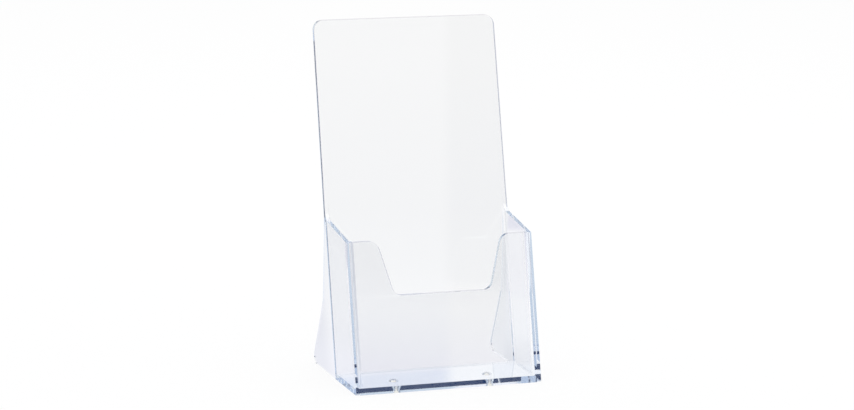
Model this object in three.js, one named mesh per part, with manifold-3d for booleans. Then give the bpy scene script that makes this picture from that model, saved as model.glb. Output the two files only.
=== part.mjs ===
// Counter-standing leaflet holder made of clear plates, for slim folded leaflets.
// Millimetres, +Z up. X runs across the width, the front faces -Y and the table is Z = 0.
// The origin lies on the table, in the middle of the holder's outer box.

import * as THREE from 'three';
import { mergeVertices } from 'three/addons/utils/BufferGeometryUtils.js';
import Module from 'manifold-3d';

const wasm = await Module();
wasm.setup();

// Driving dimensions, whole holder
const outerWidth = 116.5; // over the outer faces of the two side walls
const leanDegrees = 15; // front plate and back panel, from upright
const pocketDepth = 35; // clear space from front plate to back panel, measured level
const bondGap = 0.05; // between any two pieces: a film of cement, or air round a stud

// Driving dimensions, back panel
const panelThickness = 2.5; // square to the panel
const panelHeight = 207; // table to top edge
const panelDrawIn = 0.65; // each side, from the shoulders to the top edge
const panelCornerRadius = 6;

// Driving dimensions, front plate and its finger cut-out
const frontThickness = 2.5; // square to the plate
const frontHeight = 86.5; // table to top edge
const cutoutTopWidth = 78.4; // between the slanted sides, at the top edge
const cutoutBottomWidth = 60.6; // between the slanted sides, at the bottom of the cut-out
const cutoutBottomHeight = 55; // table to the bottom of the cut-out
const cutoutTopRadius = 7;
const cutoutBottomRadius = 6;

// Driving dimensions, side walls
const sideThickness = 2.5;
const seatHeight = 92; // table to the level seats under the panel's shoulders
const blendRadius = 10.5; // hollow curve where a wall's top edge sweeps up to the panel
const blendTopHeight = 100.5; // table to the tip of that curve
const blendTipWidth = 0.2; // blunt end of the tip
const wingBendHeight = 42; // below this the rear edge slants back
const wingBendRadius = 14;
const footDepth = 82; // front of the base to the rear end of the wings
const footCornerRadius = 4.5;
const frontCornerRadius = 0.8;

// Driving dimensions, pocket floor and its studs
const floorThickness = 3.2;
const studSpacing = 59; // centre to centre
const studSetback = 14.5; // foot of the front plate's inner face to the stud centres
const studFootRadius = 3; // on the table
const studHeadRadius = 1.8; // where the cone meets the top of the floor
const studDomeHeight = 0.5; // above the floor
const studSides = 32;
const arcSteps = 10; // straight steps in each rounded corner

// Sizes that follow from those above
const leanAngle = THREE.MathUtils.degToRad(leanDegrees);
const leanRun = Math.tan(leanAngle); // run back for each millimetre up
const frontLevel = frontThickness / Math.cos(leanAngle); // plate thickness, measured level
const panelLevel = panelThickness / Math.cos(leanAngle);
const panelFoot = frontLevel + pocketDepth; // front face of the panel, at the table
const innerWidth = outerWidth - 2 * sideThickness;
const bondedWidth = innerWidth - 2 * bondGap; // of every piece held between the walls
const panelTopWidth = outerWidth - 2 * panelDrawIn;
const panelRearTop = panelFoot + panelLevel + panelHeight * leanRun;
const overallDepth = Math.max(footDepth, panelRearTop);

// Level distance from the foot of the front plate to each leaning face, at a height
const frontOuterAt = (height) => height * leanRun;
const frontInnerAt = (height) => frontLevel + height * leanRun;
const panelFrontAt = (height) => panelFoot + height * leanRun;
const panelRearAt = (height) => panelFoot + panelLevel + height * leanRun;

// Materials
function clearPlastic(colour) {
  return new THREE.MeshStandardMaterial({
    color: colour,
    roughness: 0.08,
    metalness: 0,
    transparent: true,
    opacity: 0.45,
  });
}

// A corner of an outline, with the radius that rounds it
function corner(x, y, radius = 0) {
  return { point: new THREE.Vector2(x, y), radius };
}

// Closed outline through the corners, each rounded by an arc that its two edges have room for
function roundedOutline(corners) {
  const points = [];
  corners.forEach(({ point, radius }, index) => {
    const before = corners[(index + corners.length - 1) % corners.length].point;
    const after = corners[(index + 1) % corners.length].point;
    const arriving = point.clone().sub(before);
    const leaving = after.clone().sub(point);
    const turn = Math.atan2(arriving.cross(leaving), arriving.dot(leaving));
    const room = 0.49 * Math.min(arriving.length(), leaving.length());
    const tangent = Math.min(radius * Math.tan(Math.abs(turn) / 2), room);
    if (tangent === 0) {
      points.push(point);
      return;
    }
    const limited = tangent / Math.tan(Math.abs(turn) / 2);
    const inward = Math.sign(turn);
    const direction = arriving.clone().normalize();
    const start = point.clone().addScaledVector(direction, -tangent);
    const side = new THREE.Vector2(-direction.y, direction.x).multiplyScalar(inward);
    const centre = start.clone().addScaledVector(side, limited);
    const firstAngle = Math.atan2(start.y - centre.y, start.x - centre.x);
    for (let step = 0; step <= arcSteps; step += 1) {
      const angle = firstAngle + (turn * step) / arcSteps;
      const spoke = new THREE.Vector2(Math.cos(angle), Math.sin(angle));
      points.push(centre.clone().addScaledVector(spoke, limited));
    }
  });
  return new THREE.Shape(points);
}

// Outline that is the same on both sides of X = 0, from its right half listed bottom to top
function mirroredOutline(rightHalf) {
  const leftHalf = rightHalf.map(({ point, radius }) => corner(-point.x, point.y, radius));
  return roundedOutline([...rightHalf, ...leftHalf.reverse()]);
}

// Plate with its outline given in elevation, leaning back, with its front face's foot at Y = 0
function leaningPlate(outline, levelThickness) {
  const geometry = new THREE.ExtrudeGeometry(outline, {
    depth: levelThickness,
    bevelEnabled: false,
  });
  const lean = new THREE.Matrix4().set(
    1, 0, 0, 0,
    0, leanRun, -1, levelThickness,
    0, 1, 0, 0,
    0, 0, 0, 1,
  );
  return geometry.applyMatrix4(lean);
}

// Piece with its outline given in side view, centred on X = 0
function acrossPlate(outline, width) {
  const geometry = new THREE.ExtrudeGeometry(outline, { depth: width, bevelEnabled: false });
  const toSideView = new THREE.Matrix4().makeBasis(
    new THREE.Vector3(0, 1, 0),
    new THREE.Vector3(0, 0, 1),
    new THREE.Vector3(1, 0, 0),
  );
  return geometry.applyMatrix4(toSideView).translate(-width / 2, 0, 0);
}

// Closed mesh as a solid for cutting, and back again
function toSolid(geometry) {
  const bare = geometry.clone();
  bare.deleteAttribute('normal');
  bare.deleteAttribute('uv');
  const merged = mergeVertices(bare, 1e-5);
  const solidMesh = new wasm.Mesh({
    numProp: 3,
    vertProperties: new Float32Array(merged.attributes.position.array),
    triVerts: new Uint32Array(merged.index.array),
  });
  return new wasm.Manifold(solidMesh);
}

function toGeometry(solid) {
  const { vertProperties, triVerts } = solid.getMesh();
  const geometry = new THREE.BufferGeometry();
  geometry.setAttribute('position', new THREE.BufferAttribute(vertProperties, 3));
  geometry.setIndex(new THREE.BufferAttribute(triVerts, 1));
  geometry.computeVertexNormals();
  return geometry;
}

// Back panel: full width above its shoulders, which rest on the side walls' level seats
function backPanelGeometry() {
  const shoulderHeight = seatHeight + bondGap;
  const outline = mirroredOutline([
    corner(bondedWidth / 2, 0),
    corner(bondedWidth / 2, shoulderHeight),
    corner(outerWidth / 2, shoulderHeight),
    corner(panelTopWidth / 2, panelHeight, panelCornerRadius),
  ]);
  return leaningPlate(outline, panelLevel);
}

// Front plate: held between the side walls, with the cut-out where fingers lift a leaflet
function frontPlateGeometry() {
  const outline = mirroredOutline([
    corner(bondedWidth / 2, 0),
    corner(bondedWidth / 2, frontHeight),
    corner(cutoutTopWidth / 2, frontHeight, cutoutTopRadius),
    corner(cutoutBottomWidth / 2, cutoutBottomHeight, cutoutBottomRadius),
  ]);
  return leaningPlate(outline, frontLevel);
}

// Side wall in side view: leaning front edge, rising top edge that sweeps up along the panel,
// level seat for the panel's shoulder, upright rear edge and the wing that steadies the base
function sideWallGeometry() {
  const frontTop = new THREE.Vector2(frontOuterAt(frontHeight), frontHeight);
  const seatFront = new THREE.Vector2(panelFrontAt(seatHeight) - bondGap, seatHeight);
  const tipRear = new THREE.Vector2(panelFrontAt(blendTopHeight) - bondGap, blendTopHeight);
  const rise = (seatHeight - frontTop.y) / (seatFront.x - frontTop.x);
  const tipFrontFoot = panelFoot - bondGap - blendTipWidth;
  const sweepX = (tipFrontFoot + (frontTop.y - rise * frontTop.x) * leanRun) / (1 - rise * leanRun);
  const sweepY = frontTop.y + rise * (sweepX - frontTop.x);
  const rearEdge = panelRearAt(seatHeight);
  const outline = roundedOutline([
    corner(0, 0, frontCornerRadius),
    corner(footDepth, 0, footCornerRadius),
    corner(rearEdge, wingBendHeight, wingBendRadius),
    corner(rearEdge, seatHeight),
    corner(seatFront.x, seatFront.y),
    corner(tipRear.x, tipRear.y),
    corner(tipRear.x - blendTipWidth, tipRear.y),
    corner(sweepX, sweepY, blendRadius),
    corner(frontTop.x, frontTop.y, frontCornerRadius),
  ]);
  return acrossPlate(outline, sideThickness);
}

// Stud: a cone that narrows upwards through the floor, from the table to a low domed head
function studGeometry() {
  const domeRadius = (studHeadRadius ** 2 + studDomeHeight ** 2) / (2 * studDomeHeight);
  const domeAngle = Math.asin(Math.min(1, studHeadRadius / domeRadius));
  const domeSteps = 8;
  const profile = [new THREE.Vector2(0, 0), new THREE.Vector2(studFootRadius, 0)];
  for (let step = 0; step < domeSteps; step += 1) {
    const angle = domeAngle * (1 - step / domeSteps);
    const height = floorThickness + studDomeHeight - domeRadius * (1 - Math.cos(angle));
    profile.push(new THREE.Vector2(domeRadius * Math.sin(angle), height));
  }
  profile.push(new THREE.Vector2(0, floorThickness + studDomeHeight));
  return new THREE.LatheGeometry(profile, studSides).rotateX(Math.PI / 2);
}

// Cone that clears a stud all round by the bond gap, from below the floor to above it
function studHoleGeometry() {
  const overrun = 1;
  const slope = (studHeadRadius - studFootRadius) / floorThickness;
  const height = floorThickness + 2 * overrun;
  const lowRadius = studFootRadius + bondGap - slope * overrun;
  const highRadius = studHeadRadius + bondGap + slope * overrun;
  const cone = new THREE.CylinderGeometry(highRadius, lowRadius, height, studSides);
  return cone.rotateX(Math.PI / 2).translate(0, 0, floorThickness / 2);
}

// Pocket floor: its front and rear edges lean with the plates that it meets
function pocketFloorGeometry(studs) {
  const outline = roundedOutline([
    corner(frontInnerAt(0) + bondGap, 0),
    corner(panelFrontAt(0) - bondGap, 0),
    corner(panelFrontAt(floorThickness) - bondGap, floorThickness),
    corner(frontInnerAt(floorThickness) + bondGap, floorThickness),
  ]);
  let floorSolid = toSolid(acrossPlate(outline, bondedWidth));
  for (const { x, y } of studs) {
    floorSolid = floorSolid.subtract(toSolid(studHoleGeometry().translate(x, y, 0)));
  }
  return toGeometry(floorSolid);
}

// Assembly, laid out from the foot of the front plate's outer face
const holder = new THREE.Group();
holder.position.y = -overallDepth / 2;

function addPiece(name, geometry, colour, x = 0, y = 0) {
  const mesh = new THREE.Mesh(geometry, clearPlastic(colour));
  mesh.name = name;
  mesh.position.set(x, y, 0);
  holder.add(mesh);
}

const studPlaces = [
  { name: 'foot_stud_left', x: -studSpacing / 2, y: frontLevel + studSetback },
  { name: 'foot_stud_right', x: studSpacing / 2, y: frontLevel + studSetback },
];
const wallOffset = (outerWidth - sideThickness) / 2;

addPiece('back_panel', backPanelGeometry(), 0xf3f4f8, 0, panelFoot);
addPiece('front_plate', frontPlateGeometry(), 0xe6e8f2);
addPiece('side_wall_left', sideWallGeometry(), 0xdfe3f2, -wallOffset);
addPiece('side_wall_right', sideWallGeometry(), 0xdfe3f2, wallOffset);
addPiece('pocket_floor', pocketFloorGeometry(studPlaces), 0xc9d6ee);
for (const { name, x, y } of studPlaces) {
  addPiece(name, studGeometry(), 0xeef3fb, x, y);
}

export default holder;
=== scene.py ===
"""Clear leaflet holder for a counter: its dressed plates, a pale studio and the camera.

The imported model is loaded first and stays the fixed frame. Each plate is then dressed as a new
piece in the same place: its faces are parted where a neighbour's outline crosses them, bonded
faces are covered by the cement film, and free edges get the small radius of a polished edge.
Lengths are in metres, +Z is up and the holder's front faces -Y.
"""

import sys
import logging
import math
from collections.abc import Iterator, Sequence
from contextlib import contextmanager
from dataclasses import dataclass, field
from enum import Enum

import bmesh
import bpy
from mathutils import Matrix, Vector
from mathutils.bvhtree import BVHTree


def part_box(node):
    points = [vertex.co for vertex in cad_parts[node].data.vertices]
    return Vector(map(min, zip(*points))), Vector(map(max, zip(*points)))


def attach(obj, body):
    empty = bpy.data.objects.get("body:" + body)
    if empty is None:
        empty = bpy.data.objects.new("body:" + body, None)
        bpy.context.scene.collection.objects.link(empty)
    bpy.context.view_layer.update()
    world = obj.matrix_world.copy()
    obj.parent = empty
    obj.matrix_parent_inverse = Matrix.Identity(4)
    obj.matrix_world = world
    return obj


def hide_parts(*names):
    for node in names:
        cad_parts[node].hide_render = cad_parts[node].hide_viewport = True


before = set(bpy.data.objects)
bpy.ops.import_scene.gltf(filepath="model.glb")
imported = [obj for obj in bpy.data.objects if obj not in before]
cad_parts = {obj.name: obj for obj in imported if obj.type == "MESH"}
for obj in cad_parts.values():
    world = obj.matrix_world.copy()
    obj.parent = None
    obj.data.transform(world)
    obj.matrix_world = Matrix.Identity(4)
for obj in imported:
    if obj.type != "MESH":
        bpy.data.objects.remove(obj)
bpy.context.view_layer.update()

MM = 0.001
Place = tuple[float, float, float]
Colour = tuple[float, float, float]
Tones = tuple[tuple[float, Colour], ...]
Socket = bpy.types.NodeSocket
Feed = Socket | float | Colour  # what an input takes: an output, a number or a plain colour
log = logging.getLogger("leaflet_holder")


class Side(Enum):
    """The two side walls, by the sign of their X."""

    LEFT = -1
    RIGHT = 1

    @property
    def word(self) -> str:
        """Name of the side as the pieces' names spell it."""
        return self.name.lower()


# The planes that the pieces share, read from the frame


@dataclass(frozen=True)
class Layout:
    """Planes that the pieces share, in metres.

    A leaning plane is given by its setback: the level distance from the foot of the front
    plate's outer face, at any height.
    """

    lean_run: float
    front_foot: float
    front_inner: float
    panel_front: float
    panel_rear: float
    front_top: float
    floor_top: float
    seat: float
    blend_tip: float
    inner_half: float
    film: float

    @classmethod
    def from_frame(cls, lean_degrees: float = 15.0) -> "Layout":
        """Read the planes from the boxes of the fixed nodes.

        Args:
            lean_degrees: lean of the front plate and the back panel, from upright.

        Returns:
            The holder's shared planes.
        """
        past_inner_face = 0.5 * MM
        run = math.tan(math.radians(lean_degrees))
        front_low, front_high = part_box("front_plate")
        panel_low, panel_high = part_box("back_panel")
        wall_low, wall_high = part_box("side_wall_right")
        shoulders = [
            corner.co.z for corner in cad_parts["back_panel"].data.vertices
            if corner.co.x > wall_low.x + past_inner_face
        ]
        foot = front_low.y
        return cls(
            lean_run=run,
            front_foot=foot,
            front_inner=front_high.y - foot - front_high.z * run,
            panel_front=panel_low.y - foot,
            panel_rear=panel_high.y - foot - panel_high.z * run,
            front_top=front_high.z,
            floor_top=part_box("pocket_floor")[1].z,
            seat=min(shoulders),
            blend_tip=wall_high.z,
            inner_half=wall_low.x,
            film=wall_low.x - front_high.x,
        )

    def setback(self, place: Vector) -> float:
        """Setback of a place from the front plate's outer face."""
        return place.y - self.front_foot - place.z * self.lean_run


@dataclass(frozen=True)
class Cut:
    """Plane that parts a piece's faces where a neighbour's outline crosses them."""

    point: Vector
    normal: Vector


@dataclass(frozen=True)
class CutMaker:
    """Makes the cuts that follow the holder's own planes."""

    layout: Layout

    def level(self, height: float) -> Cut:
        """Cut at one height above the table."""
        return Cut(Vector((0, 0, height)), Vector((0, 0, 1)))

    def upright(self, x: float) -> Cut:
        """Cut across the width at one X."""
        return Cut(Vector((x, 0, 0)), Vector((1, 0, 0)))

    def fillet_uprights(self, radius: float) -> list[Cut]:
        """Cuts across the width where the fillets end on the leaning plates."""
        x = self.layout.inner_half - self.layout.film - radius
        return [self.upright(-x), self.upright(x)]

    def leaning(self, setback: float) -> Cut:
        """Cut along a plane that leans with the front plate and the panel."""
        normal = Vector((0, 1, -self.layout.lean_run)).normalized()
        return Cut(Vector((0, self.layout.front_foot + setback, 0)), normal)


# Mesh work


def deselect_all() -> None:
    """Leave nothing selected, so that an operator acts only on what is chosen next."""
    bpy.ops.object.select_all(action="DESELECT")


def make_active(piece: bpy.types.Object) -> None:
    """Select one piece alone and make it the active one."""
    deselect_all()
    piece.select_set(True)
    bpy.context.view_layer.objects.active = piece


@contextmanager
def edit_mode(piece: bpy.types.Object) -> Iterator[None]:
    """Hold one piece in edit mode.

    Args:
        piece: the piece to edit.

    Yields:
        Nothing; the piece is back in object mode afterwards.
    """
    make_active(piece)
    bpy.ops.object.mode_set(mode="EDIT")
    try:
        yield
    finally:
        bpy.ops.object.mode_set(mode="OBJECT")


def copy_of_node(node: str, name: str) -> bpy.types.Object:
    """Copy a fixed node into a new piece, with its loose triangles merged into whole faces.

    Args:
        node: name of the fixed node.
        name: name of the new piece.

    Returns:
        The new piece, in the node's place.
    """
    merge_distance = 0.002 * MM
    flat_within = math.radians(1)
    piece = bpy.data.objects.new(name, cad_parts[node].data.copy())
    piece.data.name = name
    piece.data.materials.clear()
    bpy.context.scene.collection.objects.link(piece)
    with edit_mode(piece):
        bpy.ops.mesh.select_all(action="SELECT")
        bpy.ops.mesh.remove_doubles(threshold=merge_distance)
        bpy.ops.mesh.dissolve_limited(angle_limit=flat_within)
    return piece


def part_faces(piece: bpy.types.Object, cuts: list[Cut]) -> None:
    """Part the faces of a piece along its cuts, with nothing taken away.

    Args:
        piece: the piece to work on.
        cuts: the planes to part it along.
    """
    on_plane = 0.0005 * MM
    with edit_mode(piece):
        for cut in cuts:
            bpy.ops.mesh.select_all(action="SELECT")
            bpy.ops.mesh.bisect(plane_co=cut.point, plane_no=cut.normal, threshold=on_plane)


@dataclass(frozen=True)
class EdgeCare:
    """Where a piece's free edges have their full radius; elsewhere they have a share of it.

    They have it above one height and behind one setback. At -1 these two leave no edge out.
    """

    above: float = -1.0
    behind: float = -1.0
    share_elsewhere: float = 1.0
    sharper_than: float = math.radians(40)

    def share(self, edge: bmesh.types.BMEdge, layout: Layout) -> float:
        """Share of the radius that one edge gets.

        Args:
            edge: an edge of the piece.
            layout: the holder's shared planes.

        Returns:
            1 for an edge that lies wholly in the full part, the smaller share for any other.
        """
        full = all(
            corner.co.z > self.above and layout.setback(corner.co) > self.behind
            for corner in edge.verts
        )
        return 1.0 if full else self.share_elsewhere


def weight_edges(piece: bpy.types.Object, care: EdgeCare, layout: Layout) -> int:
    """Mark the free edges of a piece for the polishing radius.

    Args:
        piece: the piece, with its slots already given to its faces.
        care: which edges are rounded, and how much.
        layout: the holder's shared planes.

    Returns:
        How many edges were marked.
    """
    mesh = bmesh.new()
    mesh.from_mesh(piece.data)
    weights = mesh.edges.layers.float.new("bevel_weight_edge")
    marked = 0
    for edge in mesh.edges:
        free = all(face.material_index == 0 for face in edge.link_faces)
        if edge.is_manifold and free and edge.calc_face_angle() > care.sharper_than:
            edge[weights] = care.share(edge, layout)
            marked += 1
    mesh.to_mesh(piece.data)
    mesh.free()
    return marked


def crease_bonds(piece: bpy.types.Object) -> None:
    """Keep the shading of free faces apart from the bonded faces beside them.

    Args:
        piece: the piece, with its slots already given to its faces.
    """
    mesh = bmesh.new()
    mesh.from_mesh(piece.data)
    for edge in mesh.edges:
        if len({face.material_index for face in edge.link_faces}) > 1:
            edge.smooth = False
    mesh.to_mesh(piece.data)
    mesh.free()


class BondFinder:
    """Finds the faces of a piece that another piece covers across the film of cement."""

    dry: tuple[str, ...] = ("foot_stud_left", "foot_stud_right")

    def __init__(self, reach: float = 0.12 * MM) -> None:
        """Read the solids of the fixed frame, without the studs, which are pressed in dry.

        Args:
            reach: how far off a covering face may be.
        """
        self.reach = reach
        self.trees = {
            name: self._tree(node.data)
            for name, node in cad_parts.items() if name not in self.dry
        }

    def add(self, piece: bpy.types.Object) -> None:
        """Let a new piece cover its neighbours too."""
        self.trees[piece.name] = self._tree(piece.data)

    @staticmethod
    def _tree(mesh: bpy.types.Mesh) -> BVHTree:
        """Search tree of one node's faces."""
        corners = [vertex.co for vertex in mesh.vertices]
        return BVHTree.FromPolygons(corners, [list(face.vertices) for face in mesh.polygons])

    def covered(self, own: str, centre: Vector, normal: Vector) -> bool:
        """Tell whether a neighbour lies just outside a face.

        Args:
            own: the node or piece that the face belongs to, which is left out.
            centre: middle of the face.
            normal: its outward direction.

        Returns:
            True where a neighbour's face is within reach across a film of cement.
        """
        clear_of_face = 0.001 * MM
        if own in self.dry:
            return False
        start = centre + normal * clear_of_face
        for name, tree in self.trees.items():
            if name != own and tree.ray_cast(start, normal, self.reach)[0] is not None:
                return True
        return False


# Shader node groups and finishes


@dataclass
class NodeSheet:
    """Small helper that adds nodes to a node tree and wires them."""

    tree: bpy.types.NodeTree

    def add(self, kind: str, **settings: object) -> bpy.types.Node:
        """Add a node and set its properties.

        Args:
            kind: the node's type, without the ShaderNode prefix.
            **settings: properties of the node.

        Returns:
            The new node.
        """
        node = self.tree.nodes.new("ShaderNode" + kind)
        for name, value in settings.items():
            setattr(node, name, value)
        return node

    def place_group(self, group: bpy.types.NodeTree, values: dict[str, float]) -> bpy.types.Node:
        """Place a shared group with values of its own.

        Args:
            group: the group.
            values: name and value of each input.

        Returns:
            The group's node.
        """
        node = self.add("Group", node_tree=group)
        for label, value in values.items():
            node.inputs[label].default_value = value
        return node

    def wire(self, source: Feed, target: Socket) -> None:
        """Link an output, or set a plain value on an input.

        Args:
            source: the output or the value.
            target: the input.
        """
        if isinstance(source, Socket):
            self.tree.links.new(source, target)
        else:
            target.default_value = source

    def paint(self, colour: Feed, target: Socket) -> None:
        """Link a colour's output, or set a plain colour on an input."""
        self.wire((*colour, 1) if isinstance(colour, tuple) else colour, target)

    def combine(self, operation: str, *values: Feed) -> Socket:
        """Combine values with a Math node.

        Args:
            operation: the Math node's operation.
            *values: outputs or numbers, in order.

        Returns:
            The node's output.
        """
        node = self.add("Math", operation=operation)
        for place, value in enumerate(values):
            self.wire(value, node.inputs[place])
        return node.outputs[0]

    def ramp(self, value: Feed, low: float, high: float) -> Socket:
        """Rise smoothly from 0 to 1 between two levels of a value.

        Args:
            value: the value to follow.
            low: the level up to which the rise is 0.
            high: the level from which it is 1.

        Returns:
            The rise.
        """
        node = self.add("MapRange", interpolation_type="SMOOTHSTEP")
        self.wire(value, node.inputs["Value"])
        node.inputs["From Min"].default_value = low
        node.inputs["From Max"].default_value = high
        return node.outputs["Result"]

    def mix(self, share: Feed, first: Feed, second: Feed) -> Socket:
        """Mix two colours, plain ones or outputs.

        Args:
            share: share of the second colour, from 0 to 1.
            first: the colour at a share of 0.
            second: the colour at a share of 1.

        Returns:
            The mixed colour.
        """
        node = self.add("MixRGB")
        self.wire(share, node.inputs["Fac"])
        self.paint(first, node.inputs["Color1"])
        self.paint(second, node.inputs["Color2"])
        return node.outputs["Color"]

    def blend(self, share: Feed, first: Socket, second: Socket) -> Socket:
        """Blend two shaders.

        Args:
            share: share of the second shader, from 0 to 1.
            first: the shader at a share of 0.
            second: the shader at a share of 1.

        Returns:
            The blended shader.
        """
        node = self.add("MixShader")
        for source, target in zip((share, first, second), node.inputs):
            self.wire(source, target)
        return node.outputs["Shader"]

    def colours(self, value: Feed, stops: Sequence[tuple[float, Colour]]) -> Socket:
        """Colour ramp over a value from 0 to 1.

        Args:
            value: the value that picks the colour.
            stops: place and colour of each stop, in rising order.

        Returns:
            The ramp's colour.
        """
        node = self.add("ValToRGB")
        self.wire(value, node.inputs["Fac"])
        elements = node.color_ramp.elements
        for place, colour in stops[1:-1]:
            elements.new(place).color = (*colour, 1)
        for element, (place, colour) in ((elements[0], stops[0]), (elements[-1], stops[-1])):
            element.position = place
            element.color = (*colour, 1)
        return node.outputs["Color"]

    def noise(self, place: Feed, scale: Feed, detail: float) -> Socket:
        """Noise value at a place.

        Args:
            place: the place.
            scale: how many waves there are to the metre.
            detail: how many finer layers are added.

        Returns:
            The value, from 0 to 1.
        """
        node = self.add("TexNoise")
        self.wire(place, node.inputs["Vector"])
        self.wire(scale, node.inputs["Scale"])
        node.inputs["Detail"].default_value = detail
        return node.outputs["Fac"]


def new_group(
    name: str, inputs: dict[str, float], outputs: list[str]
) -> tuple[bpy.types.NodeTree, NodeSheet, bpy.types.Node, bpy.types.Node]:
    """Make an empty shader node group with named sockets.

    Args:
        name: the group's name.
        inputs: name and default of each input value.
        outputs: name of each output value.

    Returns:
        The group, its helper, and its input and output nodes.
    """
    group = bpy.data.node_groups.new(name, "ShaderNodeTree")
    for label, default in inputs.items():
        socket = group.interface.new_socket(label, in_out="INPUT", socket_type="NodeSocketFloat")
        socket.default_value = default
    for label in outputs:
        group.interface.new_socket(label, in_out="OUTPUT", socket_type="NodeSocketFloat")
    sheet = NodeSheet(group)
    return group, sheet, group.nodes.new("NodeGroupInput"), group.nodes.new("NodeGroupOutput")


def moulded_relief_group() -> bpy.types.NodeTree:
    """Relief of a plastic surface: long slow waves and fine pits.

    Returns:
        The group. Wave Scale and Pit Scale are per metre, heights are in metres.
    """
    group, sheet, given, result = new_group(
        "moulded relief",
        {"Wave Scale": 30.0, "Wave Height": 0.0, "Pit Scale": 1200.0, "Pit Height": 0.0},
        ["Height"],
    )
    wave_detail, pit_detail = 1.0, 3.0
    place = sheet.add("TexCoord").outputs["Object"]
    waves = sheet.noise(place, given.outputs["Wave Scale"], wave_detail)
    pits = sheet.noise(place, given.outputs["Pit Scale"], pit_detail)
    high_waves = sheet.combine("MULTIPLY", waves, given.outputs["Wave Height"])
    high_pits = sheet.combine("MULTIPLY", pits, given.outputs["Pit Height"])
    sheet.wire(sheet.combine("ADD", high_waves, high_pits), result.inputs["Height"])
    return group


def handling_group() -> bpy.types.NodeTree:
    """Traces of handling on a polished surface: soft smudges and fine rubbed streaks.

    Returns:
        The group, which puts out the roughness.
    """
    group, sheet, given, result = new_group(
        "handling traces",
        {"Polish": 0.0, "Smudges": 0.02, "Streaks": 0.03, "Smudge Scale": 22.0},
        ["Roughness"],
    )
    smudge_detail, streak_detail = 4.0, 2.0
    smudge_levels, streak_levels = (0.5, 0.72), (0.66, 0.74)
    streak_turn, streak_scale = (0.3, 0.5, 0.2), (60.0, 60.0, 1400.0)
    place = sheet.add("TexCoord").outputs["Object"]
    smudges = sheet.noise(place, given.outputs["Smudge Scale"], smudge_detail)
    smudges = sheet.ramp(smudges, *smudge_levels)
    turned = sheet.add("Mapping")
    sheet.wire(place, turned.inputs["Vector"])
    sheet.wire(streak_turn, turned.inputs["Rotation"])
    sheet.wire(streak_scale, turned.inputs["Scale"])
    streaks = sheet.noise(turned.outputs["Vector"], 1.0, streak_detail)
    streaks = sheet.ramp(streaks, *streak_levels)
    rough = given.outputs["Polish"]
    for traces, label in ((smudges, "Smudges"), (streaks, "Streaks")):
        rough = sheet.combine("MULTIPLY_ADD", traces, given.outputs[label], rough)
    sheet.wire(rough, result.inputs["Roughness"])
    return group


@dataclass
class SharedGroups:
    """The node groups that more than one finish uses, built once."""

    relief: bpy.types.NodeTree = field(default_factory=moulded_relief_group)
    handling: bpy.types.NodeTree = field(default_factory=handling_group)


@dataclass(frozen=True)
class ClearBody:
    """What light loses inside the plastic: a little red most, so that long ways turn blue.

    Light that is mirrored to and fro for very long is never followed to its end. It is taken to
    leak in evenly from the whole studio.
    """

    absorbed_tint: Colour = (0.25, 0.475, 0.775)
    density: float = 4.0
    leaked: Colour = (0.95, 0.93, 0.86)
    lost_after: int = 38

    def fill(self, sheet: NodeSheet, output: bpy.types.Node) -> None:
        """Give a material's volume this absorption.

        Args:
            sheet: helper of the material's node tree.
            output: the material's output node.
        """
        volume = sheet.add("VolumeAbsorption")
        sheet.paint(self.absorbed_tint, volume.inputs["Color"])
        volume.inputs["Density"].default_value = self.density
        sheet.wire(volume.outputs["Volume"], output.inputs["Volume"])

    def leak(self, sheet: NodeSheet, surface: Socket) -> Socket:
        """Let a surface show the leaked light to rays that were turned too often.

        Args:
            sheet: helper of the material's node tree.
            surface: the shader that other rays meet.

        Returns:
            The shader of both.
        """
        turns = sheet.add("LightPath").outputs["Ray Depth"]
        lost = sheet.combine("GREATER_THAN", turns, self.lost_after)
        glow = sheet.add("Emission")
        sheet.paint(self.leaked, glow.inputs["Color"])
        return sheet.blend(lost, surface, glow.outputs["Emission"])


@dataclass(frozen=True)
class CementFilm:
    """Cement with the plastic's own refraction, which light crosses unbent.

    It belongs to the plastic's own material, because light that enters and leaves a solid has to
    meet one material there to know how far it went inside.
    """

    mark: str = "bonded"

    def note(self, piece: bpy.types.Object) -> None:
        """Turn the slot numbers of the bonded faces into the face value that the film reads.

        Args:
            piece: the piece, with slot 1 on its bonded faces. All are on slot 0 afterwards.
        """
        mark = piece.data.attributes.new(self.mark, "FLOAT", "FACE")
        for face in piece.data.polygons:
            mark.data[face.index].value = float(face.material_index)
            face.material_index = 0

    def lay_over(self, sheet: NodeSheet, surface: Socket) -> Socket:
        """Cover the bonded faces of a surface with the film.

        Args:
            sheet: helper of the material's node tree.
            surface: the shader of the free faces.

        Returns:
            The shader of all the faces.
        """
        bonded = sheet.add("Attribute", attribute_name=self.mark).outputs["Fac"]
        return sheet.blend(bonded, surface, sheet.add("BsdfTransparent").outputs["BSDF"])


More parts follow.
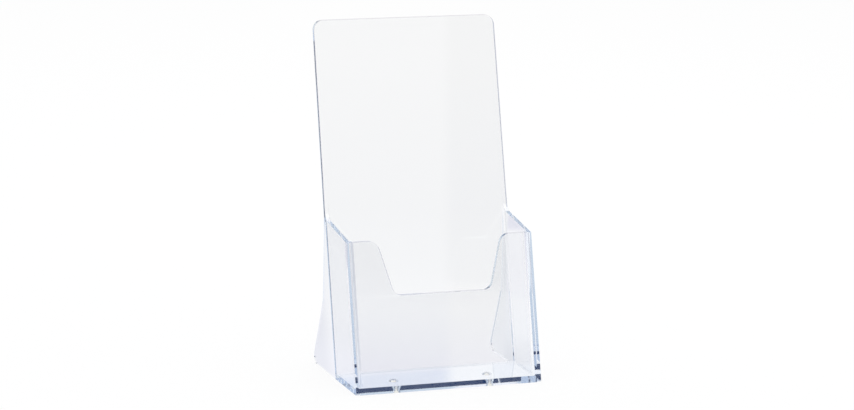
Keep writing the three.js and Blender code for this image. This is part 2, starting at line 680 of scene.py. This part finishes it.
@dataclass(frozen=True)
class PaintedEdgeShade:
    """Fine line of painted shade along the rounded free edges of a plate, a little grey.

    A face is part of it where it turns towards the broad sides by between two shares, which
    leaves out both the broad sides and the flat edges.
    """

    mark: str = "painted_edge_shade"
    above: float = 20.0 * MM
    turned: tuple[float, float] = (0.2, 0.98)
    # grey that the light passing the rim takes on: painted shade on the edges
    passed: Colour = (0.54, 0.52, 0.55)

    def note(self, piece: bpy.types.Object, facing: Vector) -> None:
        """Mark the faces that get the painted edge shade on the mesh.

        Args:
            piece: the piece, with its edges already rounded.
            facing: outward direction of one of the plate's two broad sides.
        """
        marks = piece.data.attributes.new(self.mark, "FLOAT", "FACE")
        least, most = self.turned
        for face in piece.data.polygons:
            rounded = least < abs(face.normal.dot(facing)) < most
            marks.data[face.index].value = float(rounded and face.center.z > self.above)

    def tint(self, sheet: NodeSheet, shader: bpy.types.Node) -> None:
        """Grey the clear shader on the rim with the painted edge shade.

        Args:
            sheet: helper of the material's node tree.
            shader: the clear shader.
        """
        on_rim = sheet.add("Attribute", attribute_name=self.mark).outputs["Fac"]
        sheet.wire(sheet.mix(on_rim, (1, 1, 1), self.passed), shader.inputs["Base Color"])


@dataclass(frozen=True)
class ClearPlastic:
    """Polished clear plastic, with its relief and the traces of handling."""

    name: str
    wave_height: float = 0.02 * MM
    wave_scale: float = 30.0
    pit_height: float = 0.0
    pit_scale: float = 1200.0
    polish: float = 0.0
    smudges: float = 0.02
    streaks: float = 0.03
    refraction: float = 1.52
    lamp_light_passed: Colour = (0.95, 0.955, 0.965)
    body: ClearBody = ClearBody()
    film: CementFilm = CementFilm()
    # painted shade on the rounded edges, where a finish has it
    rim: PaintedEdgeShade | None = None

    def material(self, groups: SharedGroups) -> bpy.types.Material:
        """Build the material.

        Args:
            groups: the shared node groups.

        Returns:
            The material.
        """
        made = bpy.data.materials.new(self.name)
        made.use_nodes = True
        sheet = NodeSheet(made.node_tree)
        shader = made.node_tree.nodes["Principled BSDF"]
        output = made.node_tree.nodes["Material Output"]
        sheet.paint((1, 1, 1), shader.inputs["Base Color"])
        shader.inputs["IOR"].default_value = self.refraction
        shader.inputs["Transmission Weight"].default_value = 1.0
        self._relief(sheet, groups, shader)
        self._traces(sheet, groups, shader)
        # grey tint on the rounded edges: painted edge shade
        if self.rim:
            self.rim.tint(sheet, shader)
        passed = sheet.add("BsdfTransparent")
        sheet.paint(self.lamp_light_passed, passed.inputs["Color"])
        to_lamp = sheet.add("LightPath").outputs["Is Shadow Ray"]
        surface = sheet.blend(to_lamp, shader.outputs["BSDF"], passed.outputs["BSDF"])
        surface = self.film.lay_over(sheet, surface)
        sheet.wire(self.body.leak(sheet, surface), output.inputs["Surface"])
        self.body.fill(sheet, output)
        made.cycles.emission_sampling = "NONE"
        return made

    def _relief(self, sheet: NodeSheet, groups: SharedGroups, shader: bpy.types.Node) -> None:
        """Feed the relief to the shader's normal.

        Args:
            sheet: helper of the material's node tree.
            groups: the shared node groups.
            shader: the clear shader.
        """
        relief = sheet.place_group(groups.relief, {
            "Wave Scale": self.wave_scale,
            "Wave Height": self.wave_height,
            "Pit Scale": self.pit_scale,
            "Pit Height": self.pit_height,
        })
        bump = sheet.add("Bump")
        bump.inputs["Distance"].default_value = 1.0
        sheet.wire(relief.outputs["Height"], bump.inputs["Height"])
        sheet.wire(bump.outputs["Normal"], shader.inputs["Normal"])

    def _traces(self, sheet: NodeSheet, groups: SharedGroups, shader: bpy.types.Node) -> None:
        """Feed the traces of handling to the shader's roughness.

        Args:
            sheet: helper of the material's node tree.
            groups: the shared node groups.
            shader: the clear shader.
        """
        traces = sheet.place_group(groups.handling, {
            "Polish": self.polish, "Smudges": self.smudges, "Streaks": self.streaks,
        })
        sheet.wire(traces.outputs["Roughness"], shader.inputs["Roughness"])


# The sub-assemblies


@dataclass
class Workshop:
    """What every sub-assembly needs: the planes, the bonds and the shared node groups."""

    layout: Layout
    bonds: BondFinder
    groups: SharedGroups

    @property
    def cuts(self) -> CutMaker:
        """Maker of cuts along the shared planes."""
        return CutMaker(self.layout)


@dataclass
class Plate:
    """One clear piece that stands for a fixed node, with polished free edges."""

    node: str
    name: str
    slot: str
    finish: ClearPlastic
    edge_radius: float = 0.3 * MM
    edge_steps: int = 3
    care: EdgeCare = EdgeCare()
    smooth_below: float = math.radians(32)
    flat_weight: int = 80
    piece: bpy.types.Object | None = None

    def build(self, shop: Workshop, cuts: list[Cut]) -> None:
        """Model the piece in the node's place, with its bonded faces marked for the film.

        Args:
            shop: planes, bonds and shared groups.
            cuts: planes along which neighbours cross its faces.
        """
        if self.piece is None:
            self.piece = copy_of_node(self.node, self.name)
        part_faces(self.piece, cuts)
        bonded = 0
        # A fillet covers its neighbours under its own name, every other piece under its node's.
        own = self.name if self.name in shop.bonds.trees else self.node
        for face in self.piece.data.polygons:
            covered = shop.bonds.covered(own, face.center, face.normal)
            face.material_index = int(covered)
            bonded += covered
        marked = weight_edges(self.piece, self.care, shop.layout)
        if marked and self.edge_radius:
            self._polish_edges()
        self._smooth()
        self.finish.film.note(self.piece)
        # marks the faces that get the painted edge shade
        if self.finish.rim:
            self.finish.rim.note(self.piece, -shop.cuts.leaning(0.0).normal)
        log.info("%s: %d faces, %d bonded, %d edges polished",
                 self.name, len(self.piece.data.polygons), bonded, marked)

    def dress(self, shop: Workshop) -> None:
        """Give the piece its finish, hang it under the root body and hide the node that it stands
        for.

        Args:
            shop: planes, bonds and shared groups.
        """
        self.piece.data.materials.append(self.finish.material(shop.groups))
        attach(self.piece, "root")
        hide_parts(self.node)

    def _smooth(self) -> None:
        """Smooth the rounded edges and corners, and keep the flats between them truly flat."""
        make_active(self.piece)
        bpy.ops.object.shade_smooth_by_angle(angle=self.smooth_below)
        crease_bonds(self.piece)
        leaning = self.piece.modifiers.new("flats kept flat", "WEIGHTED_NORMAL")
        leaning.mode = "FACE_AREA"
        leaning.keep_sharp = True
        leaning.weight = self.flat_weight
        bpy.ops.object.modifier_apply(modifier=leaning.name)

    def _polish_edges(self) -> None:
        """Round the marked edges by the polishing radius."""
        make_active(self.piece)
        bevel = self.piece.modifiers.new("polished edges", "BEVEL")
        bevel.limit_method = "WEIGHT"
        bevel.width = self.edge_radius
        bevel.segments = self.edge_steps
        bevel.use_clamp_overlap = True
        bpy.ops.object.modifier_apply(modifier=bevel.name)


@dataclass
class SubAssembly:
    """Base of the sub-assemblies: plates that are built and dressed together."""

    plates: list[Plate] = field(default_factory=list, init=False)

    def dress(self, shop: Workshop) -> None:
        """Give every plate its finish."""
        for plate in self.plates:
            plate.dress(shop)


@dataclass
class CornerFillet:
    """Hollow fillet in the inner corner between a side wall and the front plate.

    It stands on the floor and leans with the front plate.
    """

    side: Side
    top: float
    finish: ClearPlastic
    radius: float = 2.2 * MM
    lip: float = 0.05 * MM
    steps: int = 10
    hollow: float = 0.2

    def build(self, shop: Workshop) -> Plate:
        """Model the fillet as a leaning bar with its free edge hollowed.

        Args:
            shop: planes, bonds and shared groups.

        Returns:
            The fillet as a plate that is still to be parted, bonded and dressed.
        """
        planes = shop.layout
        foot = planes.floor_top + planes.film
        height = self.top - foot
        reach = planes.film + self.radius / 2
        x = self.side.value * (planes.inner_half - reach)
        y = planes.front_foot + planes.front_inner + foot * planes.lean_run + reach
        middle = Vector((x, y, foot + height / 2))
        deselect_all()
        bpy.ops.mesh.primitive_cube_add(size=1, location=middle)
        bar = bpy.context.active_object
        bar.name = f"corner_fillet_{self.side.word}"
        bar.scale = (self.radius, self.radius, height)
        bpy.ops.object.transform_apply(location=True, rotation=False, scale=True)
        self._hollow(bar, middle)
        self._lean(bar, middle, height * planes.lean_run)
        shop.bonds.add(bar)
        node = f"side_wall_{self.side.word}"
        return Plate(node, bar.name, "wall_clear", self.finish, edge_radius=0.0, piece=bar)

    def _hollow(self, bar: bpy.types.Object, middle: Vector) -> None:
        """Hollow out the upright edge that faces the inside of the pocket.

        Args:
            bar: the upright bar.
            middle: its middle.
        """
        with edit_mode(bar):
            bpy.ops.mesh.select_mode(type="EDGE")
            bpy.ops.mesh.select_all(action="DESELECT")
            cage = bmesh.from_edit_mesh(bar.data)
            for line in cage.edges:
                inward = all(self.side.value * (end.co.x - middle.x) < 0 for end in line.verts)
                rear = all(end.co.y > middle.y for end in line.verts)
                line.select = inward and rear
            bmesh.update_edit_mesh(bar.data)
            bpy.ops.mesh.bevel(
                offset=self.radius - self.lip, segments=self.steps, profile=self.hollow,
                affect="EDGES",
            )

    def _lean(self, bar: bpy.types.Object, middle: Vector, run: float) -> None:
        """Move the upper end of the bar back, so that the bar leans.

        Args:
            bar: the upright bar.
            middle: its middle.
            run: how far the upper end moves.
        """
        with edit_mode(bar):
            bpy.ops.mesh.select_mode(type="VERT")
            bpy.ops.mesh.select_all(action="DESELECT")
            cage = bmesh.from_edit_mesh(bar.data)
            for corner in cage.verts:
                corner.select = corner.co.z > middle.z
            bmesh.update_edit_mesh(bar.data)
            bpy.ops.transform.translate(value=(0, run, 0))


@dataclass
class BackPanel(SubAssembly):
    """The tall leaning panel, which rests its shoulders on the side walls."""

    edge_radius: float = 0.22 * MM
    # the panel's rounded edges get the painted edge shade
    finish: ClearPlastic = ClearPlastic("back panel clear plastic", rim=PaintedEdgeShade())

    def build(self, shop: Workshop) -> None:
        """Model the panel and part its faces along the floor, the walls and their seats.

        Args:
            shop: planes, bonds and shared groups.
        """
        planes, cuts = shop.layout, shop.cuts
        panel = Plate(
            "back_panel", "back_panel_clear", "panel_clear", self.finish, self.edge_radius
        )
        panel.build(shop, [
            cuts.level(planes.floor_top),
            cuts.level(planes.seat),
            cuts.level(planes.blend_tip),
            cuts.upright(-planes.inner_half),
            cuts.upright(planes.inner_half),
        ])
        self.plates.append(panel)


@dataclass
class Pocket(SubAssembly):
    """The front plate with its finger cut-out, the floor and the two studs through the floor."""

    edge_radius: float = 0.3 * MM
    lower_edge_share: float = 0.5
    # the front plate's rounded edges get the painted edge shade
    front_finish: ClearPlastic = ClearPlastic(
        "front plate clear plastic", rim=PaintedEdgeShade(), body=ClearBody(lost_after=28)
    )
    floor_finish: ClearPlastic = ClearPlastic(
        "pocket floor clear plastic", pit_height=0.004 * MM, pit_scale=1100.0
    )
    stud_finish: ClearPlastic = ClearPlastic(
        "stud clear plastic", wave_height=0.0, polish=0.45, body=ClearBody(lost_after=4)
    )
    stud_smooth_below: float = math.radians(30)

    def build(self, shop: Workshop) -> None:
        """Model the front plate, the floor and the studs.

        Args:
            shop: planes, bonds and shared groups.
        """
        floor_line = shop.cuts.level(shop.layout.floor_top)
        front = Plate(
            "front_plate", "front_plate_clear", "front_clear", self.front_finish, self.edge_radius,
            care=EdgeCare(above=shop.layout.front_top / 2, share_elsewhere=self.lower_edge_share),
        )
        front.build(shop, [floor_line, *shop.cuts.fillet_uprights(CornerFillet.radius)])
        floor = Plate(
            "pocket_floor", "pocket_floor_clear", "floor_clear", self.floor_finish, edge_radius=0.0
        )
        floor.build(shop, [])
        self.plates += [front, floor]
        for side in Side:
            stud = Plate(
                f"foot_stud_{side.word}", f"foot_stud_{side.word}_clear", "stud_clear",
                self.stud_finish, edge_radius=0.0, smooth_below=self.stud_smooth_below,
            )
            stud.build(shop, [])
            self.plates.append(stud)


@dataclass
class SideWall(SubAssembly):
    """One side wall with its swept top edge and its rear wing."""

    side: Side
    wing_edge_radius: float = 1.0 * MM
    wall_edge_share: float = 0.3
    wing_edges_above: float = 2.0 * MM
    wing_edges_behind: float = 2.25 * MM
    finish: ClearPlastic = ClearPlastic("side wall clear plastic")

    def build(self, shop: Workshop) -> None:
        """Model the wall and its fillet, and part its inner face along the plates that it holds.

        Args:
            shop: planes, bonds and shared groups.
        """
        planes, cuts = shop.layout, shop.cuts
        fillet = CornerFillet(self.side, planes.front_top, self.finish).build(shop)
        fillet.build(shop, [])
        self.plates.append(fillet)
        name = f"side_wall_{self.side.word}"
        wing_start = planes.panel_rear + self.wing_edges_behind
        care = EdgeCare(self.wing_edges_above, wing_start, self.wall_edge_share)
        wall = Plate(
            name, name + "_clear", "wall_clear", self.finish, self.wing_edge_radius, care=care
        )
        wall.build(shop, [
            cuts.leaning(planes.front_inner),
            cuts.leaning(planes.front_inner + planes.film + CornerFillet.radius),
            cuts.leaning(planes.panel_front),
            cuts.leaning(planes.panel_rear),
            cuts.level(planes.floor_top),
            cuts.level(planes.front_top),
        ])
        self.plates.append(wall)


# The studio


@dataclass(frozen=True)
class Camera:
    """The photograph's camera, as fitted to the holder's outline."""

    azimuth: float = math.radians(20.31)
    elevation: float = math.radians(12.31)
    roll: float = math.radians(-1.32)
    aim: Place = (-17.00 * MM, -47.82 * MM, 111.98 * MM)
    distance: float = 1901.71 * MM
    picture_width: int = 854
    focal_pixels: float = 3273.06
    sensor: float = 36.0

    def build(self) -> None:
        """Place the camera and make it the scene's own."""
        ahead = Vector((
            math.sin(self.azimuth) * math.cos(self.elevation),
            math.cos(self.azimuth) * math.cos(self.elevation),
            -math.sin(self.elevation),
        ))
        level = Vector((math.cos(self.azimuth), -math.sin(self.azimuth), 0))
        upward = level.cross(ahead)
        right = level * math.cos(self.roll) - upward * math.sin(self.roll)
        top = level * math.sin(self.roll) + upward * math.cos(self.roll)
        lens = bpy.data.cameras.new("camera")
        lens.sensor_width = self.sensor
        lens.lens = self.focal_pixels / self.picture_width * self.sensor
        camera = bpy.data.objects.new("camera", lens)
        turn = Matrix((right, top, -ahead)).transposed().to_4x4()
        camera.matrix_world = Matrix.Translation(Vector(self.aim) - ahead * self.distance) @ turn
        bpy.context.scene.collection.objects.link(camera)
        bpy.context.scene.camera = camera


def seen_in_plastic(sheet: NodeSheet) -> Socket:
    """Value of 1 for rays that come off a mirror surface or out of clear plastic.

    Args:
        sheet: helper of the tree to add to.

    Returns:
        The output that holds the value.
    """
    ray = sheet.add("LightPath").outputs
    return sheet.combine("MAXIMUM", ray["Is Glossy Ray"], ray["Is Transmission Ray"])


@dataclass(frozen=True)
class StudioFloor:
    """Pale floor that looks white from the camera, and shows painted light and shade in the
    plastic.

    The tones lie along two fixed level directions, across the photograph's view and along it,
    both measured from the holder. Their side edges fan out with the distance. Light that was
    turned many times inside the plastic finds the floor dimmer.
    """

    width: float = 6.0
    drop: float = 0.05 * MM
    paint: Colour = (0.8, 0.8, 0.8)
    roughness: float = 0.9
    shadow_share: float = 0.15
    across: Place = (0.938, -0.347, 0.0)
    along: Place = (0.347, 0.938, 0.0)
    straight_back: Place = (0.0, 1.0, 0.0)
    reach: tuple[float, float] = (-0.1, 1.3)
    # painted light and shade along the floor: the bright stops are a painted pool of light, the
    # dim ones painted shade
    left_painted_light: Tones = (
        (-0.02, (0.91, 0.91, 0.97)),
        (0.05, (0.945, 0.95, 0.985)),
        (0.14, (0.985, 0.99, 1.0)),
        (0.26, (0.96, 0.965, 0.97)),
        (0.45, (0.95, 0.953, 0.955)),
        (1.10, (0.975, 0.975, 0.97)),
    )
    right_painted_light: Tones = (
        (-0.02, (0.96, 0.96, 1.0)),
        (0.14, (1.0, 1.0, 1.0)),
        (0.19, (0.985, 0.985, 0.985)),
        (0.23, (0.925, 0.93, 0.935)),
        (0.45, (0.92, 0.923, 0.93)),
        (1.10, (0.95, 0.95, 0.945)),
    )
    outer_painted_light: Tones = (
        (-0.02, (0.83, 0.84, 0.88)),
        (0.06, (0.93, 0.935, 0.96)),
        (0.09, (1.0, 1.005, 1.02)),
        (0.24, (1.015, 1.005, 1.02)),
        (0.375, (1.04, 1.03, 1.035)),
        (0.395, (0.80, 0.80, 0.88)),
    )
    gain: float = 1.045
    # where the two bands of painted light meet
    light_seam: tuple[float, float] = (0.010, 0.021)
    outer_edge: tuple[float, float] = (0.0495, 0.051)
    unlit: Colour = (0.70, 0.71, 0.76)
    unlit_edge: tuple[float, float] = (-0.125, -0.075)
    wing_shade: Colour = (0.80, 0.81, 0.87)
    wing_edge: tuple[float, float] = (-0.058, -0.049)
    wing_spread: float = 0.9
    view_spread: float = 1.9
    # painted shadow of the holder on the floor beneath it, lighter on the right
    shadow_under_left: Colour = (0.61, 0.68, 0.85)
    shadow_under_right: Colour = (0.92, 0.95, 1.0)
    shadow_under_edge: tuple[float, float] = (-0.022, -0.002)
    # painted shade: the floor dimmer for rays that were guided through many turns in the plastic
    guided: Colour = (0.67, 0.74, 0.82)
    guided_under: Colour = (0.95, 0.98, 1.0)
    guided_turns: tuple[float, float] = (5.2, 6.0)
    more_turns_right: float = 1.0

    def build(self) -> None:
        """Lay the floor just under the holder."""
        deselect_all()
        bpy.ops.mesh.primitive_plane_add(size=self.width, location=(0, 0, -self.drop))
        floor = bpy.context.active_object
        floor.name = "studio_floor"
        floor.data.materials.append(self.material())

    def material(self) -> bpy.types.Material:
        """Build the floor's paint.

        Returns:
            The material.
        """
        made = bpy.data.materials.new("studio floor paint")
        made.use_nodes = True
        sheet = NodeSheet(made.node_tree)
        shader = made.node_tree.nodes["Principled BSDF"]
        output = made.node_tree.nodes["Material Output"]
        sheet.paint(self.paint, shader.inputs["Base Color"])
        shader.inputs["Roughness"].default_value = self.roughness
        shader.inputs["Specular IOR Level"].default_value = 0.0
        white = sheet.add("Emission").outputs["Emission"]
        camera = sheet.add("LightPath").outputs["Is Camera Ray"]
        to_camera = sheet.combine("MULTIPLY", camera, 1.0 - self.shadow_share)
        surface = sheet.blend(to_camera, shader.outputs["BSDF"], white)
        # the plastic sees the painted light and shade of the floor
        surface = sheet.blend(seen_in_plastic(sheet), surface, self._glow(sheet))
        sheet.wire(surface, output.inputs["Surface"])
        return made

    def _distance(self, sheet: NodeSheet, direction: Place) -> Socket:
        """Distance of a place on the floor from its middle, along one direction.

        Args:
            sheet: helper of the paint's node tree.
            direction: the direction, as a level vector of length 1.

        Returns:
            The distance in metres.
        """
        node = sheet.add("VectorMath", operation="DOT_PRODUCT")
        sheet.wire(sheet.add("TexCoord").outputs["Object"], node.inputs[0])
        node.inputs[1].default_value = direction
        return node.outputs["Value"]

    def _band(self, sheet: NodeSheet, place: Socket, tones: Tones) -> Socket:
        """Painted light and shade of one lengthwise band of the floor.

        Args:
            sheet: helper of the paint's node tree.
            place: the place along the band, as a share of the reach.
            tones: distance and colour of each tone.

        Returns:
            The colour at the place.
        """
        low, high = self.reach
        return sheet.colours(place, [((far - low) / (high - low), tone) for far, tone in tones])

    def _glow(self, sheet: NodeSheet) -> Socket:
        """Light of the floor as the plastic shows it, with its painted light and shade.

        Args:
            sheet: helper of the paint's node tree.

        Returns:
            The shader that gives off the light.
        """
        across = self._distance(sheet, self.across)
        along = self._distance(sheet, self.along)
        low, high = self.reach
        place = sheet.combine("DIVIDE", sheet.combine("SUBTRACT", along, low), high - low)
        seen_across, wing_across = (
            sheet.combine("DIVIDE", across, sheet.combine("MULTIPLY_ADD", along, 1 / spread, 1.0))
            for spread in (self.view_spread, self.wing_spread)
        )
        # the bands of painted light on either side of their seam
        right = sheet.ramp(across, *self.light_seam)
        left_colour = self._band(sheet, place, self.left_painted_light)
        colour = sheet.mix(right, left_colour, self._band(sheet, place, self.right_painted_light))
        outer = sheet.ramp(seen_across, *self.outer_edge)
        colour = sheet.mix(outer, colour, self._band(sheet, place, self.outer_painted_light))
        colour = sheet.mix(sheet.ramp(wing_across, *self.wing_edge), self.wing_shade, colour)
        colour = sheet.mix(sheet.ramp(seen_across, *self.unlit_edge), self.unlit, colour)
        # painted shadow of the holder where the floor lies under it
        behind = sheet.ramp(self._distance(sheet, self.straight_back), *self.shadow_under_edge)
        colour = sheet.mix(behind, sheet.mix(right, self.shadow_under_left, self.shadow_under_right), colour)
        turns = sheet.add("LightPath").outputs["Ray Depth"]
        turns = sheet.combine("MULTIPLY_ADD", right, -self.more_turns_right, turns)
        guided = sheet.mix(behind, self.guided_under, self.guided)
        colour = sheet.mix(sheet.ramp(turns, *self.guided_turns), colour, guided)
        glow = sheet.add("Emission")
        sheet.wire(colour, glow.inputs["Color"])
        glow.inputs["Strength"].default_value = self.gain
        return glow.outputs["Emission"]


@dataclass(frozen=True)
class StudioWorld:
    """White low down behind the holder, a dark studio above it and a bright ceiling."""

    stops: Tones = (
        (0.29, (1.0, 1.0, 1.0)),
        (0.34, (0.014, 0.036, 0.12)),
        (0.63, (0.018, 0.042, 0.12)),
        (0.71, (1.0, 1.0, 1.0)),
    )
    lower_in_front: float = 0.20
    low_below: float = 0.30
    low_by_turns: Tones = (
        (5.5, (1.0, 1.0, 1.0)),
        (6.6, (1.06, 1.06, 1.06)),
        (7.4, (1.12, 1.12, 1.12)),
        (7.9, (1.25, 1.25, 1.25)),
        (8.3, (1.25, 1.25, 1.25)),
        (8.9, (0.58, 0.66, 0.80)),
    )
    most_turns: float = 16.0
    fill: Colour = (0.75, 0.75, 0.76)

    def build(self) -> None:
        """Make the world and give it to the scene."""
        world = bpy.data.worlds.new("studio")
        bpy.context.scene.world = world
        world.use_nodes = True
        world.node_tree.nodes.clear()
        sheet = NodeSheet(world.node_tree)
        shade = self._background(sheet, self.fill)
        for share, background in (
            (seen_in_plastic(sheet), self._background(sheet, self._studio(sheet))),
            (sheet.add("LightPath").outputs["Is Camera Ray"], self._background(sheet, (1, 1, 1))),
        ):
            shade = sheet.blend(share, shade, background)
        sheet.wire(shade, sheet.add("OutputWorld").inputs["Surface"])

    def _background(self, sheet: NodeSheet, colour: Feed) -> Socket:
        """Background shader of one colour.

        Args:
            sheet: helper of the world's node tree.
            colour: the colour, plain or an output.

        Returns:
            The shader.
        """
        node = sheet.add("Background")
        sheet.paint(colour, node.inputs["Color"])
        return node.outputs["Background"]

    def _studio(self, sheet: NodeSheet) -> Socket:
        """Colour of the studio as the plastic shows it, by how steeply a ray rises.

        The dark part reaches lower down on the camera's side of the studio. The bright part low
        down also depends on how often the ray was turned on its way.

        Args:
            sheet: helper of the world's node tree.

        Returns:
            The colour.
        """
        split = sheet.add("SeparateXYZ")
        sheet.wire(sheet.add("TexCoord").outputs["Generated"], split.inputs["Vector"])
        in_front = sheet.combine("LESS_THAN", split.outputs["Y"], 0.0)
        rise = sheet.combine("MULTIPLY_ADD", in_front, self.lower_in_front, split.outputs["Z"])
        turns = sheet.add("LightPath").outputs["Ray Depth"]
        turns = sheet.combine("DIVIDE", turns, self.most_turns)
        by_turns = [(count / self.most_turns, tone) for count, tone in self.low_by_turns]
        low = sheet.combine("LESS_THAN", rise, self.low_below)
        return sheet.mix(low, sheet.colours(rise, self.stops), sheet.colours(turns, by_turns))


@dataclass(frozen=True)
class SoftBox:
    """One soft studio lamp."""

    name: str
    place: Place
    width: float
    height: float
    power: float
    aim: Place = (0.0, 0.0, 0.1)

    def build(self) -> None:
        """Hang the lamp and turn it to the holder."""
        light = bpy.data.lights.new(self.name, "AREA")
        light.shape = "RECTANGLE"
        light.size = self.width
        light.size_y = self.height
        light.energy = self.power
        lamp = bpy.data.objects.new(self.name, light)
        lamp.location = self.place
        towards = Vector(self.aim) - Vector(self.place)
        lamp.rotation_euler = towards.to_track_quat("-Z", "Y").to_euler()
        lamp.visible_glossy = False
        lamp.visible_transmission = False
        bpy.context.scene.collection.objects.link(lamp)


@dataclass(frozen=True)
class Studio:
    """Camera, floor, world and lamps."""

    bounces: int = 64
    lamps: tuple[SoftBox, ...] = (
        SoftBox("lamp_overhead", place=(0.3, 0.4, 2.4), width=1.6, height=1.6, power=36.0),
    )

    def build(self) -> None:
        """Set the studio up."""
        scene = bpy.context.scene
        scene.view_settings.view_transform = "Standard"
        scene.cycles.max_bounces = self.bounces
        scene.cycles.glossy_bounces = self.bounces
        scene.cycles.transmission_bounces = self.bounces
        scene.cycles.transparent_max_bounces = self.bounces
        Camera().build()
        StudioFloor().build()
        StudioWorld().build()
        for lamp in self.lamps:
            lamp.build()
        log.info("studio: %d lamps", len(self.lamps))


def main() -> None:
    """Build the studio and every sub-assembly."""
    logging.basicConfig(level=logging.INFO, format="%(message)s", stream=sys.stdout)
    Studio().build()
    shop = Workshop(Layout.from_frame(), BondFinder(), SharedGroups())
    for part in (SideWall(Side.LEFT), SideWall(Side.RIGHT), BackPanel(), Pocket()):
        part.build(shop)
        part.dress(shop)


if __name__ == "__main__":
    main()
